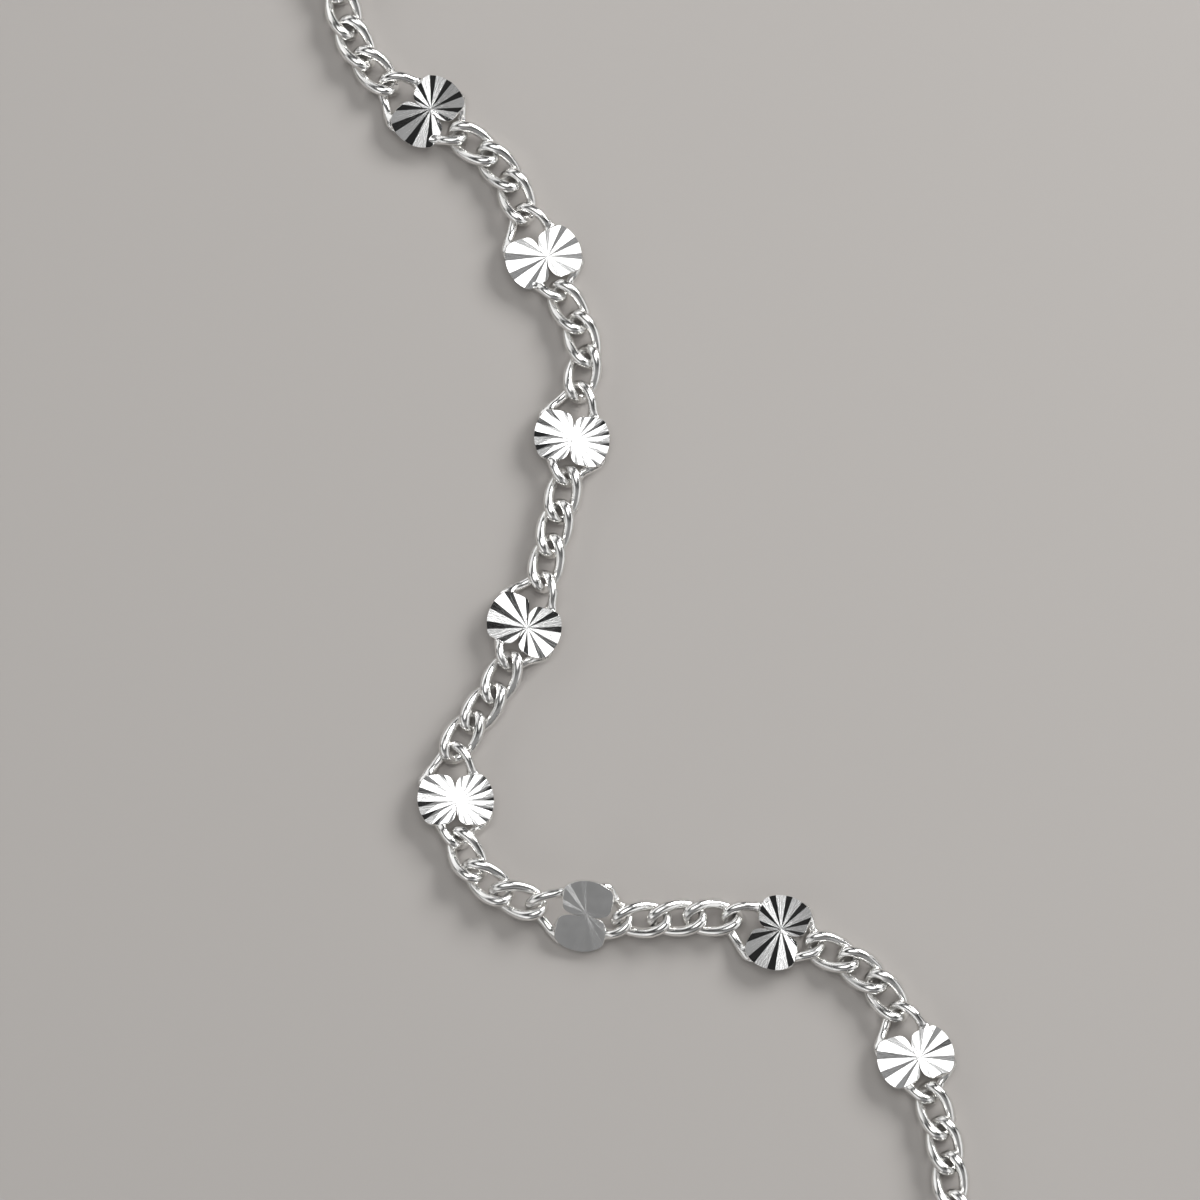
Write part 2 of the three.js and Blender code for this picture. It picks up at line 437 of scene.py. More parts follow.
@dataclass
class Tube:
    """A round or flattened rod along a path, closed on itself or with rounded ends.

    Attributes:
        path: The middle of the rod.
        radius: Half its thickness.
        closed: Whether the path is a loop.
        sides: Faces round the rod.
        widths: How wide the rod is at each point of the path, as a share of its thickness.
        heights: How high it is at each point, as a share.
    """

    path: list[Vector]
    radius: float
    closed: bool = False
    sides: int = 14
    widths: list[float] | None = None
    heights: list[float] | None = None

    def add_to(self, bm: bmesh.types.BMesh) -> None:
        """Adds the rod's faces to a mesh, with the grain running along it.

        Args:
            bm: The mesh to add to.
        """
        grain = bm.loops.layers.float_vector.get(GRAIN) or bm.loops.layers.float_vector.new(GRAIN)
        rings, marks = self._rings(bm)
        count = len(rings)
        for i in range(count if self.closed else count - 1):
            j = (i + 1) % count
            for k in range(self.sides):
                m = (k + 1) % self.sides
                face = bm.faces.new((rings[i][k], rings[i][m], rings[j][m], rings[j][k]))
                face.smooth = True
                spots = (marks[i][k], marks[i][m], marks[i + 1][m], marks[i + 1][k])
                for loop, spot in zip(face.loops, spots):
                    loop[grain] = spot
        if not self.closed:
            for ring, spots in ((rings[0][::-1], marks[0][::-1]), (rings[-1], marks[-1])):
                face = bm.faces.new(ring)
                face.smooth = True
                for loop, spot in zip(face.loops, spots):
                    loop[grain] = spot

    def _rings(
        self, bm: bmesh.types.BMesh
    ) -> tuple[list[list[bmesh.types.BMVert]], list[list[Vector]]]:
        """Makes the rod's rings of vertices and the grain of each.

        Args:
            bm: The mesh to add to.

        Returns:
            The rings, and for each ring its grain vectors, with one more row on a closed rod.
        """
        count = len(self.path)
        rings: list[list[bmesh.types.BMVert]] = []
        marks: list[list[Vector]] = []
        along = 0.0
        across = self._first_across()
        for i, middle in enumerate(self.path):
            ahead = self.path[(i + 1) % count] if self.closed or i < count - 1 else middle
            behind = self.path[i - 1] if self.closed or i > 0 else middle
            heading = (ahead - behind).normalized()
            across = (across - heading * across.dot(heading)).normalized()
            up = heading.cross(across)
            width = self.widths[i] if self.widths else 1.0
            height = self.heights[i] if self.heights else 1.0
            ring, spots = [], []
            for k in range(self.sides):
                turn = math.tau * k / self.sides
                out = across * math.cos(turn) * width + up * math.sin(turn) * height
                ring.append(bm.verts.new(middle + self.radius * out))
                spots.append(
                    Vector((math.cos(turn) * self.radius, math.sin(turn) * self.radius, along))
                )
            rings.append(ring)
            marks.append(spots)
            along += ALONG_GRAIN * (self.path[(i + 1) % count] - middle).length
        marks.append([Vector((x, y, along)) for x, y, _ in marks[0]])
        return rings, marks

    def _first_across(self) -> Vector:
        """Picks the side direction of the first ring.

        Returns:
            A level direction across the path, unless the path starts out upright.
        """
        heading = (self.path[1] - self.path[0]).normalized()
        across = Vector((0, 0, 1)).cross(heading)
        nearly_upright = across.length < 0.1
        return Vector((0, 1, 0)) if nearly_upright else across.normalized()


def mesh_from(bm: bmesh.types.BMesh, name: str) -> bpy.types.Mesh:
    """Turns a bmesh into a mesh whose faces point outwards.

    Args:
        bm: The mesh under construction, which is freed.
        name: The new mesh's name.

    Returns:
        The mesh.
    """
    bmesh.ops.recalc_face_normals(bm, faces=bm.faces)
    mesh = bpy.data.meshes.new(name)
    bm.to_mesh(mesh)
    bm.free()
    return mesh


def added_object(name: str, data: bpy.types.ID) -> bpy.types.Object:
    """Adds an object to the scene.

    Args:
        name: The object's name.
        data: Its mesh, lamp or camera.

    Returns:
        The object.
    """
    made = bpy.data.objects.new(name, data)
    bpy.context.scene.collection.objects.link(made)
    return made


def settled_mesh(obj: bpy.types.Object, name: str) -> bpy.types.Mesh:
    """Takes the result of an object's modifiers as a plain mesh, and removes the object.

    Args:
        obj: The object, which is deleted.
        name: The new mesh's name.

    Returns:
        The plain mesh.
    """
    seen = obj.evaluated_get(bpy.context.evaluated_depsgraph_get())
    mesh = bpy.data.meshes.new_from_object(seen)
    mesh.name = name
    bpy.data.objects.remove(obj)
    return mesh


def finished_piece(
    name: str, mesh: bpy.types.Mesh, finish: SilverFinish, *nodes: str
) -> bpy.types.Object:
    """Scales a mesh from millimetres to the frame and makes it a piece of the bracelet.

    Args:
        name: The piece's name.
        mesh: Its mesh, in millimetres, in place.
        finish: Its main finish; not used.
        nodes: The frame's nodes that the piece stands for.

    Returns:
        The piece.
    """
    mesh.transform(Matrix.Scale(MM, 4))
    mesh.name = name
    piece = added_object(name, mesh)
    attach(piece, BODY)
    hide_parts(*nodes)
    log.info("%s: %d faces", name, len(mesh.polygons))
    return piece


# ---------------------------------------------------------------------------------------------
# The chain
# ---------------------------------------------------------------------------------------------


@dataclass
class ChainLine:
    """Where the chain's knots lie: the places at which one link hooks into the next.

    Attributes:
        small_pitch: A small link, from knot to knot.
        plate_pitch: A plate link, from knot to knot.
        run_links: Small links between two plate links.
        plate_links: Plate links in the chain.
        height: The knots' height above the surface.
        knots: The knots in order, found by walking the route.
    """

    small_pitch: float = 1.59
    plate_pitch: float = 3.99
    run_links: int = 3
    plate_links: int = 22
    height: float = 0.535
    knots: list[Vector] = field(default_factory=list)

    def __post_init__(self) -> None:
        """Walks the route link by link."""
        run = [self.small_pitch] * self.run_links
        steps = run + (([self.plate_pitch] + run) * self.plate_links)
        points = [Vector((x, y, 0.0)) for x, y in ROUTE]
        path = smooth_path(points, ROUTE_STEPS)
        self.knots = [path[0]]
        at = 1
        for length in steps:
            start = self.knots[-1]
            while at < len(path) - 1 and (path[at] - start).length < length:
                at += 1
            chord = path[at] - path[at - 1]
            behind = path[at - 1] - start
            a = chord.length_squared
            b = behind.dot(chord)
            c = behind.length_squared - length * length
            self.knots.append(path[at - 1] + chord * ((math.sqrt(b * b - a * c) - b) / a))
        for knot in self.knots:
            knot.z = self.height

    @property
    def repeat(self) -> int:
        """Knots from one run's start to the next."""
        return self.run_links + 1

    def run(self, number: int) -> list[Vector]:
        """Gives the knots of a run of small links, counted from nought."""
        first = number * self.repeat
        return [knot.copy() for knot in self.knots[first : first + self.repeat]]

    def plate_seat(self, number: int) -> Matrix:
        """Gives the place of a plate link, counted from nought, with X along the chain."""
        first = number * self.repeat + self.run_links
        return seat_between(self.knots[first], self.knots[first + 1])


def seat_between(start: Vector, end: Vector) -> Matrix:
    """Gives a place halfway between two points on the surface, with X towards the second.

    Args:
        start: The point behind.
        end: The point ahead.

    Returns:
        The place, at height nought.
    """
    middle = (start + end) / 2
    heading = end - start
    turn = Matrix.Rotation(math.atan2(heading.y, heading.x), 4, "Z")
    return Matrix.Translation((middle.x, middle.y, 0.0)) @ turn


@dataclass
class CurbRun:
    """A run of small curb links: ovals of round wire, each twisted so that the run lies flat.

    Attributes:
        wire: The wire's thickness.
        pitch: A link from knot to knot.
        width: A link from side to side.
        play: How much longer a link is than it would be if the chain were pulled tight.
        fullness: How full its oval is: 2 for an ellipse, more for straighter sides.
        twist: How far a link's end is turned from flat, opposite ways at its two ends.
        sway: How far a link may roll off true, either way.
        steps: Points round a link.
        sides: Faces round the wire.
        finish: The metal's finish.
    """

    wire: float = 0.5
    pitch: float = 1.59
    width: float = 1.72
    play: float = 0.2
    fullness: float = 2.6
    twist: float = math.radians(50)
    sway: float = math.radians(3)
    steps: int = 48
    sides: int = 14
    finish: SilverFinish = WIRE_SILVER

    def sizes(self, rolls: tuple[float, float] = (0.0, 0.0), seed: int = 0) -> dict[str, float]:
        """Lists the numbers that the run's node tree takes.

        Args:
            rolls: How far what the run hangs on is rolled, behind it and ahead of it.
            seed: Picks the links' small rolls.

        Returns:
            The numbers, by name.
        """
        return {
            "Wire": self.wire,
            "Pitch": self.pitch,
            "Width": self.width,
            "Play": self.play,
            "Twist": self.twist,
            "Sway": self.sway,
            "Roll Behind": rolls[0],
            "Roll Ahead": rolls[1],
            "Seed": seed,
        }

    def tree(self) -> bpy.types.GeometryNodeTree:
        """Builds the node tree that hooks a link along every edge of a line of knots.

        Returns:
            The tree, which takes the sizes above.
        """
        tree = GeometryTree("curb run", self.sizes())
        given = tree.node("NodeGroupInput")
        placed = self._placed(tree, given, self._link(tree, given))
        real = tree.node("GeometryNodeRealizeInstances", None, {"Geometry": placed})
        smooth = tree.node("GeometryNodeSetShadeSmooth", None, {"Geometry": real})
        done = tree.node(
            "GeometryNodeSetMaterial",
            None,
            {"Geometry": smooth, "Material": self.finish.material()},
        )
        tree.node("NodeGroupOutput", None, {"Geometry": done})
        return tree.tree

    def _link(self, tree: GeometryTree, given: Socket) -> Socket:
        """Adds the nodes that make one twisted link about the origin.

        Args:
            tree: The tree to add to.
            given: The tree's inputs.

        Returns:
            The link's mesh, with its grain stored.
        """
        wire, width, pitch = given.out("Wire"), given.out("Width"), given.out("Pitch")
        length, across = pitch + wire + given.out("Play"), width - wire
        place = tree.node("GeometryNodeInputPosition")
        spot = tree.node("ShaderNodeSeparateXYZ", None, {"Vector": place})
        x, y = spot.out("X"), spot.out("Y")
        powers = [v.math("POWER", v.math("ABSOLUTE", v), self.fullness) for v in (x, y)]
        reach = x.math("POWER", powers[0] + powers[1], -1 / self.fullness) * 0.5
        bowed = tree.xyz(X=x * reach * length, Y=y * reach * across)
        even = tree.node(
            "GeometryNodeResampleCurve",
            {"mode": "COUNT"},
            {"Curve": tree.moved(tree.circle(2 * self.steps, 1.0), bowed), "Count": self.steps},
        )
        turned = tree.node(
            "ShaderNodeVectorRotate",
            {"rotation_type": "X_AXIS"},
            {"Vector": place, "Angle": x * given.out("Twist") * -2.0 / length},
        )
        along = tree.node("GeometryNodeSplineParameter").out("Length") * ALONG_GRAIN
        tube = tree.node(
            "GeometryNodeCurveToMesh",
            None,
            {
                "Curve": tree.stored(tree.moved(even, turned), "along", "FLOAT", along),
                "Profile Curve": tree.stored(
                    tree.circle(self.sides, wire * 0.5), "section", "FLOAT_VECTOR", place
                ),
            },
        )
        grain = tree.vector(
            "ADD", tree.read("section", "FLOAT_VECTOR"), tree.xyz(Z=tree.read("along", "FLOAT"))
        )
        marked = tree.stored(tube, GRAIN, "FLOAT_VECTOR", grain)
        return tree.dropped(tree.dropped(marked, "along"), "section")

    def _placed(self, tree: GeometryTree, given: Socket, link: Socket) -> Socket:
        """Adds the nodes that put a link on each edge between two knots.

        Args:
            tree: The tree to add to.
            given: The tree's inputs.
            link: The link's mesh.

        Returns:
            The links, as instances.
        """
        wire, pitch = given.out("Wire"), given.out("Pitch")
        ends = tree.node("GeometryNodeInputMeshEdgeVertices")
        heading = tree.vector("SUBTRACT", ends.out("Position 2"), ends.out("Position 1"))
        knots = tree.stored(given.out("Geometry"), "heading", "FLOAT_VECTOR", heading, "EDGE")
        points = tree.node("GeometryNodeMeshToPoints", {"mode": "EDGES"}, {"Mesh": knots})
        heading = tree.read("heading", "FLOAT_VECTOR")
        sway = tree.node(
            "FunctionNodeRandomValue",
            {"data_type": "FLOAT"},
            {"Min": given.out("Sway") * -1.0, "Max": given.out("Sway"), "Seed": given.out("Seed")},
        )
        links = tree.node(
            "GeometryNodeAttributeDomainSize", {"component": "POINTCLOUD"}, {"Geometry": points}
        )
        share = (tree.node("GeometryNodeInputIndex") + 1.0) / (links + 1.0)
        behind = given.out("Roll Behind")
        roll = behind + (given.out("Roll Ahead") - behind) * share + sway
        parts = tree.node("ShaderNodeSeparateXYZ", None, {"Vector": heading})
        x, y, z = (parts.out(axis) for axis in "XYZ")
        level = x.math("SQRT", x * x + y * y)
        turn = tree.xyz(X=roll, Y=z.math("ARCTAN2", z, level) * -1.0, Z=y.math("ARCTAN2", y, x))
        stretch = (tree.vector("LENGTH", heading).out("Value") + wire) / (pitch + wire)
        placed = tree.node(
            "GeometryNodeInstanceOnPoints",
            None,
            {
                "Points": points,
                "Instance": link,
                "Rotation": tree.node("FunctionNodeEulerToRotation", None, {"Euler": turn}),
                "Scale": tree.xyz(X=stretch, Y=1.0, Z=1.0),
            },
        )
        return tree.dropped(placed, "heading")

    def build(
        self,
        tree: bpy.types.GeometryNodeTree,
        knots: list[Vector],
        rolls: tuple[float, float],
        seed: int,
    ) -> bpy.types.Mesh:
        """Makes the links of one run.

        Args:
            tree: The tree that tree() built.
            knots: The run's knots, from end to end.
            rolls: How far what the run hangs on is rolled, behind it and ahead of it.
            seed: Picks the links' small rolls.

        Returns:
            The run's mesh, in millimetres.
        """
        line = bpy.data.meshes.new("knots")
        line.from_pydata(knots, [(i, i + 1) for i in range(len(knots) - 1)], [])
        holder = added_object("knots", line)
        modifier = holder.modifiers.new("curb run", "NODES")
        modifier.node_group = tree
        sizes = self.sizes(rolls, seed)
        for item in tree.interface.items_tree:
            if item.name in sizes:
                modifier[item.identifier] = sizes[item.name]
        return settled_mesh(holder, "curb run")


# ---------------------------------------------------------------------------------------------
# The plate links
# ---------------------------------------------------------------------------------------------


@dataclass
class RayCut:
    """The star of V grooves that is struck across both lobes.

    Attributes:
        broad_share: The share of a groove's width that its broad side takes.
        ahead: How far the star's middle is ahead of the plate's.
        left: How far it is to the left.
        depth: A groove's depth, as a share of its width.
        rings: How far out the struck face is shaped, the last past the plate's corners.
        unevenness: How far a groove's width and depth stray, as a share.
        bottom: Height of the cut solid's underside.
    """

    broad_share: float = 0.62
    ahead: float = 0.07
    left: float = 0.18
    depth: float = 0.08
    rings: tuple[float, ...] = (0.5, 1.0, 1.7, 2.4)
    unevenness: float = 0.05
    bottom: float = 0.1

    def mesh(self, middle: Vector, lie: "PlateLie", seed: int) -> bpy.types.Mesh:
        """Makes the solid that is left under the grooves, wider than the plate.

        Args:
            middle: The plate's middle, on its face.
            lie: How the star is turned, how deep it is struck and how it leans.
            seed: Picks the grooves' widths and depths.

        Returns:
            The solid's mesh.
        """
        chance = random.Random(seed)
        slope = self.depth * lie.depth * math.tau / lie.rays
        shares = [1 + chance.uniform(-1, 1) * self.unevenness for _ in range(lie.rays)]
        slopes = [slope * (1 + chance.uniform(-1, 1) * self.unevenness) for _ in range(lie.rays)]
        turns = [math.radians(lie.star)]
        for share in shares:
            turns.append(turns[-1] + math.tau * share / sum(shares))
        centre = middle + Vector((self.ahead, self.left, 0.0))
        bearings, falls = [], []
        for i in range(lie.rays):
            valley = turns[i] + (turns[i + 1] - turns[i]) * (1 - self.broad_share)
            bearings += [turns[i], valley]
            falls += [0.0, slopes[i]]

        def spot(bearing: float, fall: float, away: float) -> Vector:
            """Gives a point of the struck face by its bearing, its slope and how far out it is."""
            fall *= 1 - lie.fade * max(0.0, 1 - away / self.rings[-2])
            return centre + away * Vector((math.cos(bearing), math.sin(bearing), -fall))

        bm = bmesh.new()
        apex = bm.verts.new(centre)
        rings = [
            [bm.verts.new(spot(bearing, fall, away)) for bearing, fall in zip(bearings, falls)]
            for away in self.rings
        ]
        low = [bm.verts.new((vert.co.x, vert.co.y, self.bottom)) for vert in rings[-1]]
        count = len(bearings)
        for i in range(count):
            j = (i + 1) % count
            bm.faces.new((apex, rings[0][i], rings[0][j]))
            for near, far in zip(rings, rings[1:]):
                bm.faces.new((near[i], far[i], far[j]))
                bm.faces.new((near[i], far[j], near[j]))
            bm.faces.new((rings[-1][i], low[i], low[j], rings[-1][j]))
        bm.faces.new(low[::-1])
        mesh = mesh_from(bm, "ray cut")
        mesh.transform(
            Matrix.Translation(middle)
            @ Matrix.Rotation(math.radians(lie.left_up), 4, "X")
            @ Matrix.Rotation(math.radians(lie.front_down), 4, "Y")
            @ Matrix.Translation(-middle)
        )
        return mesh


@dataclass(frozen=True)
class PlateLie:
    """How one plate link lies and how it was struck.

    Attributes:
        roll: How far the whole link is rolled about the chain, left side up, in degrees.
        raised: How far the link is lifted off the surface.
        left_up: How far the struck face leans up to the left, in degrees.
        front_down: How far it leans down to the front, in degrees.
        star: The bearing of one ridge of its star, in degrees from straight ahead.
        rays: Grooves in its star.
        depth: How deep its grooves are, as a share of the usual depth.
        fade: How far the grooves fade out towards the middle, as a share of their depth.
    """

    roll: float = 0.0
    raised: float = 0.0
    left_up: float = 0.0
    front_down: float = 0.0
    star: float = 0.0
    rays: int = 12
    depth: float = 1.0
    fade: float = 0.0


@dataclass(frozen=True)
class Bend:
    """A point that the middle of a wire passes through.

    Attributes:
        along: Along the chain.
        left: To the left of it.
        up: Above the surface.
        wide: How wide the wire is pressed there, as a share of its thickness.
        high: How high it is left there, as a share.
    """

    along: float
    left: float
    up: float
    wide: float = 1.0
    high: float = 1.0


@dataclass
class PlateLink:
    """A long curb link whose two sides are pressed into lobes and struck with rays.

    Attributes:
        wire: The wire's thickness.
        half_length: Half of a lobe along the chain.
        half_width: From the plate's middle to a lobe's outer edge.
        thickness: A lobe's thickness before it is struck.
        top: Height of the struck face at its middle.
        ahead: How far the plate sits ahead of the link's middle.
        shift: How far each lobe sits along the chain, in opposite senses.
        notch: Half of the bridge between the two notches.
        lip: How far a notch has opened at the rim, either side of the middle.
        seam: Half of the fine gap where the lobes' inner edges were pressed together.
        bridge: Half of the length over which the lobes are one.
        cut: The star of grooves.
        plate_finish: The struck face's finish.
        wire_finish: The finish of the wire and the pressed sides.
    """

    wire: float = 0.45
    half_length: float = 1.13
    half_width: float = 1.7
    thickness: float = 0.28
    top: float = 0.9
    ahead: float = 0.25
    shift: float = 0.06
    notch: float = 0.4
    lip: float = 0.34
    seam: float = 0.012
    bridge: float = 0.08
    cut: RayCut = field(default_factory=RayCut)
    plate_finish: SilverFinish = CUT_SILVER
    wire_finish: SilverFinish = WIRE_SILVER

    # A lobe's end, from the notch's rim out to its corner: how far along, as a share of
    # half_length, and how far out, as a share of the corner's distance.
    END = ((1.015, 0.55), (1.02, 0.78), (0.985, 0.97))
    # Where the notch's curve is pulled towards: a share of half_length, and out from the seam.
    NOTCH_PULL = (0.86, 0.03)
    # Where that curve meets the rim, and where the outer bow begins, as shares of half_length.
    RIM_START = 0.975
    BOW_START = 0.88
    # The blank's edge, ring by ring: up from the underside, how far in the edge is, and how much
    # further it is at a lobe's end.
    EDGE = (
        (0.0, 0.09, 0.0),
        (0.04, 0.03, 0.0),
        (0.11, 0.0, 0.0),
        (0.17, 0.0, 0.0),
        (0.24, 0.0, 0.025),
        (0.3, 0.0, 0.07),
        (0.35, 0.0, 0.14),
        (0.39, 0.0, 0.24),
        (0.62, 0.0, 0.4),
    )
    SHOULDER_REACH = 0.3  # how far out along the plate the shoulders take to reach full depth

    # The wire at each end, from under one lobe round to the other. The rear one is turned half
    # round, so that its along is backwards and its left is to the right.
    FRONT = (
        Bend(0.85, 1.15, 0.68, 2.2, 0.35),
        Bend(1.15, 1.22, 0.62, 1.7, 0.65),
        Bend(1.42, 1.0, 0.42, 1.1),
        Bend(1.64, 0.68, 0.27),
        Bend(1.95, 0.44, 0.24),
        Bend(2.16, 0.22, 0.33),
        Bend(2.235, 0.0, 0.535),
        Bend(2.16, -0.22, 0.74),
        Bend(1.95, -0.45, 0.83),
        Bend(1.62, -0.64, 0.81),
        Bend(1.35, -0.74, 0.66, 1.2),
        Bend(0.9, -0.8, 0.66, 1.8, 0.4),
    )
    REAR = (
        Bend(0.5, 1.15, 0.68, 2.2, 0.35),
        Bend(0.8, 1.22, 0.62, 1.7, 0.65),
        Bend(1.1, 1.12, 0.41, 1.1),
        Bend(1.45, 0.83, 0.27),
        Bend(1.75, 0.58, 0.235),
        Bend(1.99, 0.4, 0.245),
        Bend(2.17, 0.2, 0.34),
        Bend(2.235, 0.0, 0.535),
        Bend(2.16, -0.22, 0.74),
        Bend(1.95, -0.45, 0.84),
        Bend(1.6, -0.66, 0.85),
        Bend(1.2, -0.78, 0.73),
        Bend(0.92, -0.82, 0.62, 1.3, 0.8),
        Bend(0.5, -0.84, 0.67, 1.8, 0.4),
    )

    def end_side(self) -> list[Vector]:
        """Draws the front end of the left lobe, from the bridge out to its outer corner.

        Returns:
            Points with the lobe's middle as their origin.
        """
        rim = self.half_length
        pull_along, pull_out = self.NOTCH_PULL
        root = Vector((self.notch, self.seam, 0.0))
        pull = Vector((pull_along * rim, pull_out, 0.0))
        mouth = Vector((self.RIM_START * rim, self.lip, 0.0))
        points = [Vector((self.bridge, self.seam, 0.0)), root]
        steps = 8
        for step in range(1, steps + 1):
            t = step / steps
            points.append(root * (1 - t) ** 2 + pull * 2 * t * (1 - t) + mouth * t * t)
        corner = math.sqrt(self.half_width**2 - rim**2)
        points += [Vector((along * rim, out * corner, 0.0)) for along, out in self.END]
        return points

    def lobe_outline(self) -> list[Vector]:
        """Draws the left lobe: convex inner edges, short ends and a bowed outer edge.

        Returns:
            Points of its outline, anticlockwise from the front end of the bridge.
        """
        side = self.end_side()
        start = math.acos(self.BOW_START * self.half_length / self.half_width)
        steps = 16
        bow = []
        for step in range(steps + 1):
            turn = start + (math.pi - 2 * start) * step / steps
            bow.append(Vector((math.cos(turn), math.sin(turn), 0.0)) * self.half_width)
        far = [Vector((-p.x, p.y, 0.0)) for p in reversed(side)]
        return [p + Vector((self.shift, 0.0, 0.0)) for p in side + bow + far]

    def outline(self) -> list[Vector]:
        """Draws both lobes as one anticlockwise outline, joined by the bridge."""
        left = self.lobe_outline()
        return left + [Vector((-p.x, -p.y, 0.0)) for p in left]

    def blank(self) -> bpy.types.Mesh:
        """Makes the pressed plate before it is struck, with rounded edges and shoulders.

        Returns:
            The plate's mesh.
        """
        outline = self.outline()
        count = len(outline)
        inward = []
        for i in range(count):
            along = outline[(i + 1) % count] - outline[i - 1]
            inward.append(Vector((-along.y, along.x, 0.0)).normalized())
        shoulders = [
            d.x * d.x * min(1.0, max(0.0, (abs(p.x) - self.notch) / self.SHOULDER_REACH))
            for p, d in zip(outline, inward)
        ]
        middle = Vector((self.ahead, 0.0, self.top - self.thickness))
        bm = bmesh.new()
        rings = []
        for rise, inset, shoulder in self.EDGE:
            ring = []
            for p, d, s in zip(outline, inward, shoulders):
                on_axis = p.y == 0
                moved = d * (shoulder * s if on_axis else inset + shoulder * s)
                ring.append(bm.verts.new(middle + p + moved + Vector((0, 0, rise))))
            rings.append(ring)
        for low, high in zip(rings, rings[1:]):
            for i in range(count):
                j = (i + 1) % count
                face = bm.faces.new((low[i], low[j], high[j], high[i]))
                face.smooth = True
        bm.faces.new(rings[0][::-1])
        bm.faces.new(rings[-1])
        return mesh_from(bm, "plate blank")

    def end_wires(self) -> bpy.types.Mesh:
        """Makes the wire at both ends of the link.

        Returns:
            The wires' mesh.
        """
        steps = 5
        bm = bmesh.new()
        for bends, turn in ((self.FRONT, 0.0), (self.REAR, math.pi)):
            spin = Matrix.Rotation(turn, 3, "Z")
            path = smooth_path([spin @ Vector((b.along, b.left, b.up)) for b in bends], steps)
            press = smooth_path([Vector((b.wide, b.high, 0.0)) for b in bends], steps)
            widths, heights = [p.x for p in press], [p.y for p in press]
            Tube(path, self.wire / 2, widths=widths, heights=heights).add_to(bm)
        return mesh_from(bm, "end wires")

    def build(self, lie: PlateLie, seed: int) -> bpy.types.Mesh:
        """Makes one plate link about the origin, lying flat.

        Args:
            lie: How its star is struck and how its face leans.
            seed: Picks the unevenness of its grooves.

        Returns:
            The link's mesh, in millimetres.
        """
        middle = Vector((self.ahead, 0.0, self.top))
        plate = added_object("plate", self.blank())
        tool = added_object("tool", self.cut.mesh(middle, lie, seed))
        wires = added_object("wires", self.end_wires())
        materials = (self.wire_finish.material(), self.plate_finish.material())
        for holder, number in ((plate, 0), (tool, 1), (wires, 0)):
            for material in materials:
                holder.data.materials.append(material)
            faces = holder.data.polygons
            faces.foreach_set("material_index", [number] * len(faces))
        for other, operation in ((tool, "INTERSECT"), (wires, "UNION")):
            modifier = plate.modifiers.new(operation.lower(), "BOOLEAN")
            modifier.operation = operation
            modifier.solver = "EXACT"
            modifier.object = other
        mesh = settled_mesh(plate, "plate link")
        for other in (tool, wires):
            bpy.data.objects.remove(other)
        self._mark_grain(mesh, middle)
        return mesh

    def _mark_grain(self, mesh: bpy.types.Mesh, middle: Vector) -> None:
        """Stores the grain of the plate's own faces, out from the middle of the star.

        Args:
            mesh: The link's mesh.
            middle: The plate's middle.
        """
        star = middle + Vector((self.cut.ahead, self.cut.left, 0.0))
        layer = mesh.attributes.get(GRAIN) or mesh.attributes.new(GRAIN, "FLOAT_VECTOR", "CORNER")
        for face in mesh.polygons:
            if face.material_index == 1:
                for loop in face.loop_indices:
                    x, y, _ = mesh.vertices[mesh.loops[loop].vertex_index].co
                    layer.data[loop].vector = (x - star.x, y - star.y, 0.0)


# ---------------------------------------------------------------------------------------------
# The fastening
# ---------------------------------------------------------------------------------------------


@dataclass
class Ring:
    """A round ring of wire that leans about the chain's line.

    Attributes:
        radius: From its middle to the middle of its wire.
        wire: The wire's thickness.
        lean: How far it leans about the chain's line.
        finish: The metal's finish.
    """

    radius: float = 1.0
    wire: float = 0.4
    lean: float = 0.0
    finish: SilverFinish = CLASP_SILVER

    CUT_AT = math.radians(100)  # where the ring was cut to open it
    CUT_HALF = math.radians(1.2)  # half of the fine cut that is left, as a turn
    CUT_DEPTH = 0.025
    CUT_REACH = 3  # how far the wire's core shows either way, in half cuts
    AROUND = 72  # points round the ring

    @property
    def height(self) -> float:
        """Height of the ring's middle when its wire touches the surface."""
        return self.radius * abs(math.sin(self.lean)) + self.wire / 2

    def seat(self, along: float) -> Matrix:
        """Gives the ring's place on the fastening's own line."""
        return Matrix.Translation((along, 0, self.height)) @ Matrix.Rotation(self.lean, 4, "X")

    def arc(self, radius: float, first: float, last: float, steps: int) -> list[Vector]:
        """Draws an arc in the ring's own plane.

        Args:
            radius: Its radius.
            first: Where it begins, as a turn from X.
            last: Where it ends.
            steps: How many points it has.

        Returns:
            Its points, without the repeated first point where it is a full circle.
        """
        closed = math.isclose(last - first, math.tau)
        parts = steps if closed else steps - 1
        turns = [first + (last - first) * i / parts for i in range(steps)]
        return [Vector((radius * math.cos(t), radius * math.sin(t), 0.0)) for t in turns]

    def build(self) -> bpy.types.Mesh:
        """Makes the ring in its own plane, with the fine cut where it was closed.

        Returns:
            The ring's mesh, in millimetres.
        """
        bm = bmesh.new()
        at, half = self.CUT_AT, self.CUT_HALF
        path = self.arc(self.radius, at + half, at + math.tau - half, self.AROUND)
        Tube(path, self.wire / 2, sides=16).add_to(bm)
        reach = self.CUT_REACH * half
        core = self.arc(self.radius, at - reach, at + reach, steps=5)
        Tube(core, self.wire / 2 - self.CUT_DEPTH, sides=16).add_to(bm)
        return self.dressed(bm, "ring")

    def dressed(self, bm: bmesh.types.BMesh, name: str) -> bpy.types.Mesh:
        """Turns a bmesh into a mesh with the ring's finish.

        Args:
            bm: The mesh under construction, which is freed.
            name: The new mesh's name.

        Returns:
            The mesh.
        """
        mesh = mesh_from(bm, name)
        mesh.materials.append(self.finish.material())
        return mesh


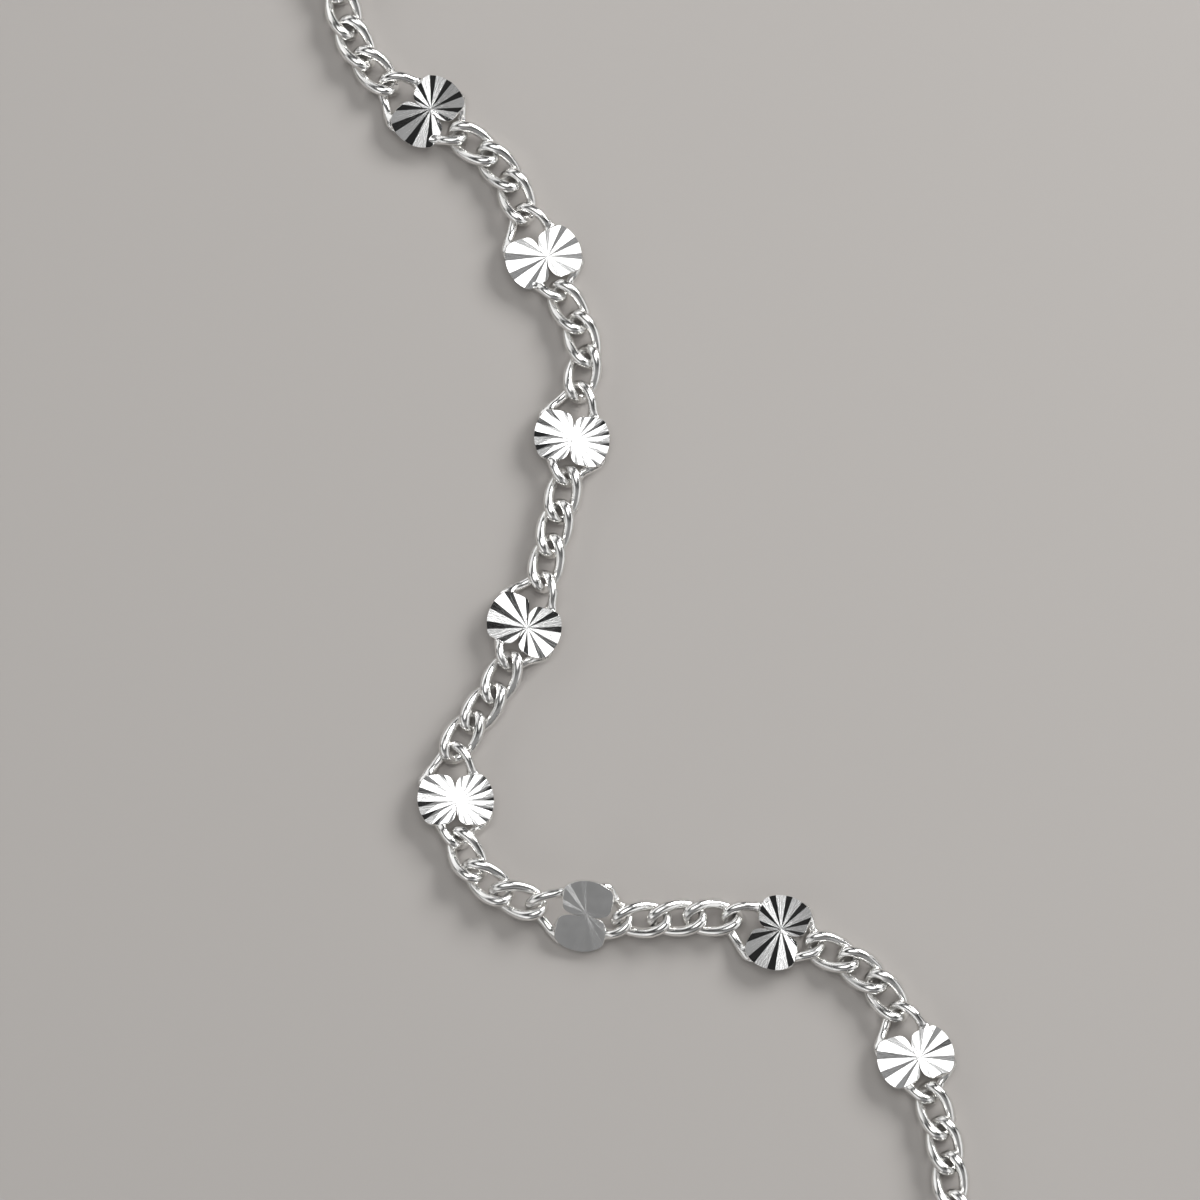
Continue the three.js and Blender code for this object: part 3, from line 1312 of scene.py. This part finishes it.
@dataclass
class SpringRing(Ring):
    """The round clasp: a hollow ring whose tongue slides back by a trigger, and its eye.

    Attributes:
        radius: From its middle to the middle of its tube.
        wire: The tube's thickness.
        lean: How far it leans about the chain's line.
        tongue: The tongue's radius where it crosses the gap.
        gap: Where the gap begins and ends, as turns about the ring.
        trigger_turn: Where the trigger stands.
        trigger_radius: Half the trigger's thickness.
        eye_radius: The eye's radius, to the middle of its wire.
        eye_wire: The eye's thickness.
    """

    radius: float = 2.0
    wire: float = 1.0
    lean: float = math.radians(-18)
    tongue: float = 0.33
    gap: tuple[float, float] = (math.radians(112), math.radians(158))
    trigger_turn: float = math.radians(230)
    trigger_radius: float = 0.2
    eye_radius: float = 0.8
    eye_wire: float = 0.45

    OVERLAP = 0.1  # how far the tongue goes on inside the ring, as a turn
    COLLAR_HALF = 0.035  # half of a collar's length, as a turn
    COLLAR_RISE = 0.03
    FOOT = 0.1  # how deep the trigger starts inside the ring
    # The trigger from its foot to its rounded tip: how far out, and how thick, as a share.
    TRIGGER = ((0.0, 1.0), (0.12, 1.0), (0.24, 1.0), (0.33, 0.92), (0.4, 0.7), (0.44, 0.35))

    def build(self) -> bpy.types.Mesh:
        """Makes the clasp in its own plane, its eye towards +X.

        Returns:
            The clasp's mesh, in millimetres.
        """
        bm = bmesh.new()
        first, last = self.gap
        body = self.arc(self.radius, last, first + math.tau, steps=90)
        full = self.wire / 2
        Tube(body, full, sides=24).add_to(bm)
        tongue = self.arc(self.radius, first - self.OVERLAP, last + self.OVERLAP, steps=24)
        Tube(tongue, self.tongue, sides=20).add_to(bm)
        half = self.COLLAR_HALF
        for turn in (first, last):
            collar = self.arc(self.radius, turn - half, turn + half, steps=5)
            Tube(collar, full + self.COLLAR_RISE, sides=24).add_to(bm)
        reach = self.radius + full + self.eye_radius - self.eye_wire / 2
        round_eye = self.arc(self.eye_radius, 0, math.tau, steps=44)
        eye = [p + Vector((reach, 0, 0)) for p in round_eye]
        Tube(eye, self.eye_wire / 2, closed=True, sides=16).add_to(bm)
        out = Vector((math.cos(self.trigger_turn), math.sin(self.trigger_turn), 0.0))
        start = self.radius + full - self.FOOT
        post = [out * (start + away) for away, _ in self.TRIGGER]
        self._knob(bm, post, tuple(size for _, size in self.TRIGGER), out)
        return self.dressed(bm, "spring ring")

    def _knob(
        self, bm: bmesh.types.BMesh, path: list[Vector], sizes: tuple[float, ...], out: Vector
    ) -> None:
        """Adds the trigger: a short post with a rounded tip.

        Args:
            bm: The mesh to add to.
            path: The post's middle, from its foot to its tip.
            sizes: Its thickness at each point, as a share.
            out: Which way it points.
        """
        side = out.cross(Vector((0, 0, 1)))
        sides = 16
        grain = bm.loops.layers.float_vector[GRAIN]
        rings = []
        for middle, size in zip(path, sizes):
            ring = []
            for k in range(sides):
                turn = math.tau * k / sides
                radial = side * math.cos(turn) + Vector((0, 0, 1)) * math.sin(turn)
                ring.append(bm.verts.new(middle + radial * self.trigger_radius * size))
            rings.append(ring)
        faces = [
            bm.faces.new((low[k], low[(k + 1) % sides], high[(k + 1) % sides], high[k]))
            for low, high in zip(rings, rings[1:])
            for k in range(sides)
        ]
        faces += [bm.faces.new(rings[0][::-1]), bm.faces.new(rings[-1])]
        for face in faces:
            face.smooth = True
            for loop in face.loops:
                loop[grain] = loop.vert.co


@dataclass
class Fastening:
    """The three pieces between the chain's last knot and its first.

    Attributes:
        slack: Between a ring and the small link that hangs on it.
        clasp_back: The spring ring's middle, back from the middle of the fastening.
        end_ring: The ring that the clasp shuts on.
        jump_ring: The ring that holds the clasp's eye.
        clasp: The spring ring.
    """

    slack: float = 0.1
    clasp_back: float = 0.98
    end_ring: Ring = field(default_factory=lambda: Ring(lean=math.radians(65)))
    jump_ring: Ring = field(default_factory=lambda: Ring(lean=math.radians(-75)))
    clasp: SpringRing = field(default_factory=SpringRing)

    def build(self, last: Vector, first: Vector) -> None:
        """Makes the three pieces in place.

        Args:
            last: The chain's last knot.
            first: Its first knot.
        """
        seat = seat_between(last, first)
        half = Vector((last.x - first.x, last.y - first.y, 0.0)).length / 2

        def inset(ring: Ring) -> float:
            """How far a ring's middle stands in from its knot."""
            return ring.radius - ring.wire / 2 + self.slack

        for name, ring, along in (
            ("end_ring", self.end_ring, inset(self.end_ring) - half),
            ("spring_ring_clasp", self.clasp, -self.clasp_back),
            ("jump_ring", self.jump_ring, half - inset(self.jump_ring)),
        ):
            mesh = ring.build()
            mesh.transform(seat @ ring.seat(along))
            finished_piece(f"polished_{name}", mesh, ring.finish, name)


# ---------------------------------------------------------------------------------------------
# The bracelet and the studio
# ---------------------------------------------------------------------------------------------


@dataclass
class Bracelet:
    """The whole bracelet.

    Attributes:
        line: Where its knots lie.
        curb: Its small links.
        plate: Its plate links.
        fastening: Its clasp and rings.
        ring_reach: How far the two end links reach past their knots to hook their rings.
        ring_rise: How far those links rise there.
    """

    line: ChainLine = field(default_factory=ChainLine)
    curb: CurbRun = field(default_factory=CurbRun)
    plate: PlateLink = field(default_factory=PlateLink)
    fastening: Fastening = field(default_factory=Fastening)
    ring_reach: float = 0.14
    ring_rise: float = 0.34

    # The plates in the long S, each as it happens to lie. The rest lie at random.
    FIRST_IN_S = 9
    LIES = (
        PlateLie(left_up=1.3, front_down=1.8, star=27, depth=1.5),
        PlateLie(left_up=0.4, front_down=1.5, star=28),
        PlateLie(left_up=-0.2, front_down=0.7, star=5, rays=18, depth=1.22, fade=0.45),
        PlateLie(left_up=-0.3, front_down=-0.2, star=13, depth=1.25),
        PlateLie(left_up=-0.7, front_down=-0.8, star=7, rays=18, depth=1.22, fade=0.45),
        PlateLie(roll=28, raised=0.33, star=8, depth=0.35),
        PlateLie(left_up=-1.1, front_down=-1.1, star=28, depth=1.5),
        PlateLie(left_up=0.6, front_down=-2.3, star=0),
    )
    # How far the others may lean either way, in degrees, and how their stars vary.
    LEAN = 2.0
    STARS = (0, 30)
    DEPTHS = (0.9, 1.2)
    RAYS = (12, 12, 18)
    PLATE_SEEDS = 100
    # What share of a raised plate's lift each knot beside it takes, from the plate outwards.
    LIFT_SHARES = (1.0, 0.85, 0.6, 0.15)

    def build(self) -> None:
        """Makes every piece of the bracelet."""
        self._build_runs()
        self._build_plates()
        self.fastening.build(self.line.knots[-1], self.line.knots[0])

    def _build_runs(self) -> None:
        """Makes the runs of small links."""
        tree = self.curb.tree()
        runs = self.line.plate_links + 1
        for number in range(runs):
            behind, ahead = self._lie(number - 1), self._lie(number)
            knots = self.line.run(number)
            for i, share in enumerate(self.LIFT_SHARES):
                knots[i].z += share * behind.raised
                knots[-1 - i].z += share * ahead.raised
            if number == 0:
                self._reach_for_ring(knots)
            if number == runs - 1:
                knots.reverse()
                self._reach_for_ring(knots)
                knots.reverse()
            rolls = (math.radians(behind.roll), math.radians(ahead.roll))
            mesh = self.curb.build(tree, knots, rolls, seed=number)
            label = f"{number + 1:02d}"
            finished_piece(f"curb_links_{label}", mesh, self.curb.finish, f"chain_run_{label}")

    def _reach_for_ring(self, knots: list[Vector]) -> None:
        """Moves the first of some knots out and up, to the ring beyond it."""
        away = (knots[0] - knots[1]).normalized()
        knots[0] += away * self.ring_reach + Vector((0, 0, self.ring_rise))

    def _lie(self, number: int) -> PlateLie:
        """Gives the way that a plate lies, counted from nought.

        Args:
            number: The plate. One past either end stands for a ring, which lies flat.

        Returns:
            How it lies.
        """
        if not 0 <= number < self.line.plate_links:
            return PlateLie()
        if 0 <= number - self.FIRST_IN_S < len(self.LIES):
            return self.LIES[number - self.FIRST_IN_S]
        chance = random.Random(number)
        return PlateLie(
            left_up=chance.uniform(-self.LEAN, self.LEAN),
            front_down=chance.uniform(-self.LEAN, self.LEAN),
            star=chance.uniform(*self.STARS),
            depth=chance.uniform(*self.DEPTHS),
            rays=chance.choice(self.RAYS),
        )

    def _build_plates(self) -> None:
        """Makes the plate links."""
        for number in range(self.line.plate_links):
            lie = self._lie(number)
            mesh = self.plate.build(lie, seed=self.PLATE_SEEDS + number)
            axis = Vector((0, 0, self.line.height))
            rolled = (
                Matrix.Translation(axis + Vector((0, 0, lie.raised)))
                @ Matrix.Rotation(math.radians(lie.roll), 4, "X")
                @ Matrix.Translation(-axis)
            )
            mesh.transform(self.line.plate_seat(number) @ rolled)
            label = f"{number + 1:02d}"
            finished_piece(
                f"diamond_cut_plate_{label}", mesh, self.plate.plate_finish, f"plate_link_{label}"
            )


def stand_facing(
    item: bpy.types.Object, target: Vector, out: Vector, distance: float, turn: float = 0.0
) -> None:
    """Stands a lamp or camera off a point, so that it faces it.

    Args:
        item: The lamp or camera.
        target: The point, in metres.
        out: The way from the point to it.
        distance: How far it stands, in metres.
        turn: How far it is turned in its own plane, in degrees.
    """
    item.location = target + out * distance
    spin = Quaternion((0.0, 0.0, 1.0), math.radians(turn))
    item.rotation_euler = (out.to_track_quat("Z", "Y") @ spin).to_euler()


class LampShape(Enum):
    """The shape of a lamp's face."""

    OBLONG = "RECTANGLE"
    OVAL = "ELLIPSE"


@dataclass
class Softbox:
    """A soft lamp that shines on the bracelet from one side.

    Attributes:
        name: The lamp's name.
        bearing: Which way it stands, in degrees anticlockwise from +X.
        elevation: How high it stands, in degrees above the surface.
        distance: How far it stands, in metres.
        size: Its width and height, in metres.
        brightness: How bright its face is, as a share of the white of the picture.
        turn: How far it is turned in its own plane, in degrees.
        shape: The shape of its face.
    """

    name: str
    bearing: float
    elevation: float
    distance: float
    size: tuple[float, float]
    brightness: float
    turn: float = 0.0
    shape: LampShape = LampShape.OBLONG

    def hang(self, target: Vector) -> None:
        """Hangs the lamp so that it faces a point.

        Args:
            target: The point, in metres.
        """
        lamp = bpy.data.lights.new(self.name, "AREA")
        lamp.shape = self.shape.value
        lamp.size, lamp.size_y = self.size
        area = self.size[0] * self.size[1]
        if self.shape is LampShape.OVAL:
            area *= math.pi / 4
        lamp.energy = self.brightness * math.pi * area
        way, rise = math.radians(self.bearing), math.radians(self.elevation)
        out = Vector(
            (math.cos(way) * math.cos(rise), math.sin(way) * math.cos(rise), math.sin(rise))
        )
        stand_facing(added_object(self.name, lamp), target, out, self.distance, self.turn)


@dataclass
class Studio:
    """A plain pale floor, soft lamps and the camera.

    Attributes:
        target: The point that the camera looks at, in millimetres.
        elevation: How high the camera looks down from, in degrees.
        distance: How far it stands, in millimetres.
        view_width: How much the picture takes in from side to side there, in millimetres.
        floor_size: The floor's side, in metres.
        floor_colour: The floor's colour.
        floor_roughness: How dull it is.
        room: The plain grey of the room around.
        lamps: The soft lamps.
    """

    target: tuple[float, float, float] = (-10.5, 0.3, 0.0)
    elevation: float = 82.0
    distance: float = 400.0
    view_width: float = 53.81
    floor_size: float = 3.0
    floor_colour: Colour = (0.485, 0.461, 0.44)
    floor_roughness: float = 0.9
    room: float = 0.02
    lamps: tuple[Softbox, ...] = (
        Softbox("overhead softbox", 90, 82, 1.2, (0.98, 0.7), 1.6, 30, LampShape.OVAL),
        Softbox("its glow", 90, 82, 1.25, (1.27, 0.84), 0.42, 30, LampShape.OVAL),
        Softbox("dim ceiling", 90, 82, 1.3, (1.43, 1.25), 0.3, 30, LampShape.OVAL),
        Softbox("key softbox", 40, 32, 0.35, (0.2, 0.14), 11.0),
        Softbox("front wall", 270, 38, 1.6, (2.7, 1.23), 0.22),
        Softbox("back wall", 130, 24, 1.6, (2.2, 0.9), 1.05),
        Softbox("left wall", 215, 24, 1.6, (2.2, 0.9), 0.8),
        Softbox("right wall", 340, 22, 1.6, (1.6, 0.9), 0.9),
    )

    SENSOR_WIDTH = 36.0  # in millimetres
    NEAREST = 0.01  # how near the camera still sees, in metres

    def build(self) -> None:
        """Sets up the floor, the lamps and the camera."""
        self._floor()
        self._room()
        target = Vector(self.target) * MM
        for lamp in self.lamps:
            lamp.hang(target)
        self._camera(target)
        bpy.context.scene.view_settings.view_transform = "Standard"

    def _floor(self) -> None:
        """Lays the floor."""
        half = self.floor_size / 2
        mesh = bpy.data.meshes.new("floor")
        mesh.from_pydata(
            [(-half, -half, 0), (half, -half, 0), (half, half, 0), (-half, half, 0)],
            [],
            [(0, 1, 2, 3)],
        )
        tree = MaterialTree("pale floor")
        mesh.materials.append(
            tree.show(
                {"Base Color": (*self.floor_colour, 1.0), "Roughness": self.floor_roughness}
            )
        )
        added_object("floor", mesh)

    def _room(self) -> None:
        """Fills the room around with one even grey."""
        world = bpy.data.worlds.new("room")
        world.use_nodes = True
        world.node_tree.nodes.clear()
        tree = NodeTree(world.node_tree)
        light = tree.node(
            "ShaderNodeBackground", None, {"Color": (self.room, self.room, self.room, 1.0)}
        )
        tree.node("ShaderNodeOutputWorld", None, {"Surface": light})
        bpy.context.scene.world = world

    def _camera(self, target: Vector) -> None:
        """Puts up the camera.

        Args:
            target: The point it looks at, in metres.
        """
        data = bpy.data.cameras.new("camera")
        data.sensor_width = self.SENSOR_WIDTH
        data.lens = data.sensor_width * self.distance / self.view_width
        data.clip_start = self.NEAREST
        rise = math.radians(self.elevation)
        out = Vector((0.0, -math.cos(rise), math.sin(rise)))
        camera = added_object("camera", data)
        stand_facing(camera, target, out, self.distance * MM)
        bpy.context.scene.camera = camera


def main() -> None:
    """Builds the bracelet and its studio."""
    logging.basicConfig(level=logging.INFO, format="%(name)s: %(message)s")
    Studio().build()
    Bracelet().build()


if __name__ == "__main__":
    main()
